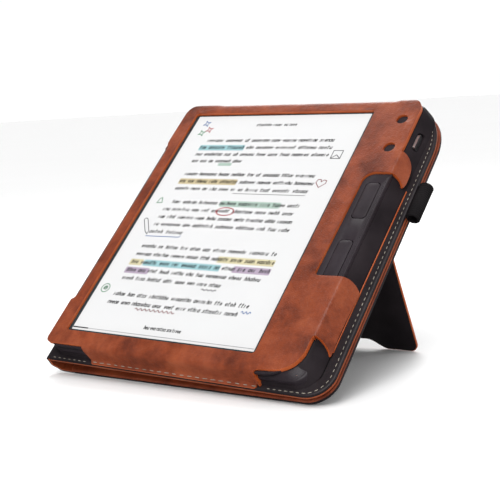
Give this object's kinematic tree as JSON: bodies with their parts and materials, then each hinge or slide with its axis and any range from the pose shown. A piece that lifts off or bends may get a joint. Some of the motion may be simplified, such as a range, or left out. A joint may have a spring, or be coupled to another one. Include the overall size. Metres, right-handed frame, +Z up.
{
  "type": "e-reader in a stand folio",
  "caption": "Electronic reader in a tan leather folio, leaning on a fold-out stand in its folded-back cover, with page keys, pen loop and soft spine.",
  "frame": {"origin": "on the floor, under the middle of the whole object's box as it stands on its cover and stand", "axes": "+X to the right along the screen, +Y backwards, +Z up; the screen leans back and faces -Y and +Z"},
  "size_m": [0.1662, 0.1372, 0.1259],
  "materials": {
    "tan_leather": "glossy waxed grain",
    "black_leather": "satin smooth",
    "thread": "matt twisted",
    "elastic": "ribbed",
    "greyboard": "pressed card",
    "dark_plastic": "fine satin",
    "screen_film": "matt anti-glare",
    "light_guide": "clear",
    "epaper": "paper white",
    "gasket_foam": "closed-cell foam",
    "metal_sheet": "stamped",
    "steel_parts": "plain",
    "circuit": "solder mask",
    "flex": "polyimide",
    "cell": "foil pouch",
    "small_plastic": "moulded"
  },
  "bodies": {
    "case": {"front_frame": "tan_leather", "side_wall": "black_leather", "flange_strip": "black_leather", "edge_thread": "thread", "back_lining": "black_leather", "back_board": "greyboard", "back_skin": "tan_leather", "pen_loop": "elastic", "front_housing": "dark_plastic", "rear_housing": "dark_plastic", "screen_film": "screen_film", "light_guide": "light_guide", "light_strip": "light_guide", "epaper_panel": "epaper", "front_gasket": "gasket_foam", "display_flex": "flex", "midframe": "metal_sheet", "main_board": "circuit", "shield_cans": "metal_sheet", "battery": "cell", "battery_plug": "small_plastic", "usb_port": "metal_sheet", "wifi_antenna": "flex", "hall_sensor": "small_plastic", "button_board": "circuit", "dome_switches": "metal_sheet", "power_switch": "metal_sheet", "housing_screws": "steel_parts"},
    "page_button_upper": {"page_button_upper": "dark_plastic"},
    "page_button_lower": {"page_button_lower": "dark_plastic"},
    "power_button": {"power_button": "dark_plastic"},
    "spine_inner": {"spine_inner": "black_leather"},
    "spine_middle": {"spine_middle": "black_leather"},
    "spine_outer": {"spine_outer": "black_leather"},
    "cover": {"cover_skin": "tan_leather", "cover_board": "greyboard", "cover_lining": "black_leather", "cover_magnets": "steel_parts", "stand_hinge_strip": "black_leather"},
    "stand": {"stand_board": "greyboard", "stand_front_skin": "black_leather", "stand_rear_skin": "black_leather"}
  },
  "joints": [
    {"name": "page_button_upper_press", "type": "slide", "parent": "case", "child": "page_button_upper", "axis": [-0.0349, 0.6687, -0.7427], "range_m": [0, 0.0005], "stiffness_N_per_m": 400},
    {"name": "page_button_lower_press", "type": "slide", "parent": "case", "child": "page_button_lower", "axis": [-0.0349, 0.6687, -0.7427], "range_m": [0, 0.0005], "stiffness_N_per_m": 400},
    {"name": "power_button_press", "type": "slide", "parent": "case", "child": "power_button", "axis": [0.0349, -0.6687, 0.7427], "range_m": [0, 0.0005], "stiffness_N_per_m": 400},
    {"name": "spine_inner_fold", "type": "hinge", "parent": "case", "child": "spine_inner", "pos_m": [-0.08182, -0.00038, 0.06356], "axis": [0, 0.7431, 0.6691], "range_deg": [0, 152]},
    {"name": "spine_middle_fold", "type": "hinge", "parent": "spine_inner", "child": "spine_middle", "pos_m": [-0.08251, 0.00293, 0.05988], "axis": [0, 0.7431, 0.6691], "range_deg": [0, 72]},
    {"name": "spine_outer_fold", "type": "hinge", "parent": "spine_middle", "child": "spine_outer", "pos_m": [-0.07892, 0.00525, 0.0573], "axis": [0, 0.7431, 0.6691], "range_deg": [0, 65]},
    {"name": "cover_fold", "type": "hinge", "parent": "spine_outer", "child": "cover", "pos_m": [-0.07394, 0.00555, 0.05697], "axis": [0, 0.7431, 0.6691], "range_deg": [0, 72.5]},
    {"name": "stand_hinge", "type": "hinge", "parent": "cover", "child": "stand", "pos_m": [0.00216, 0.01852, 0.06543], "axis": [-1, 0, 0], "range_deg": [0, 71.8]}
  ]
}
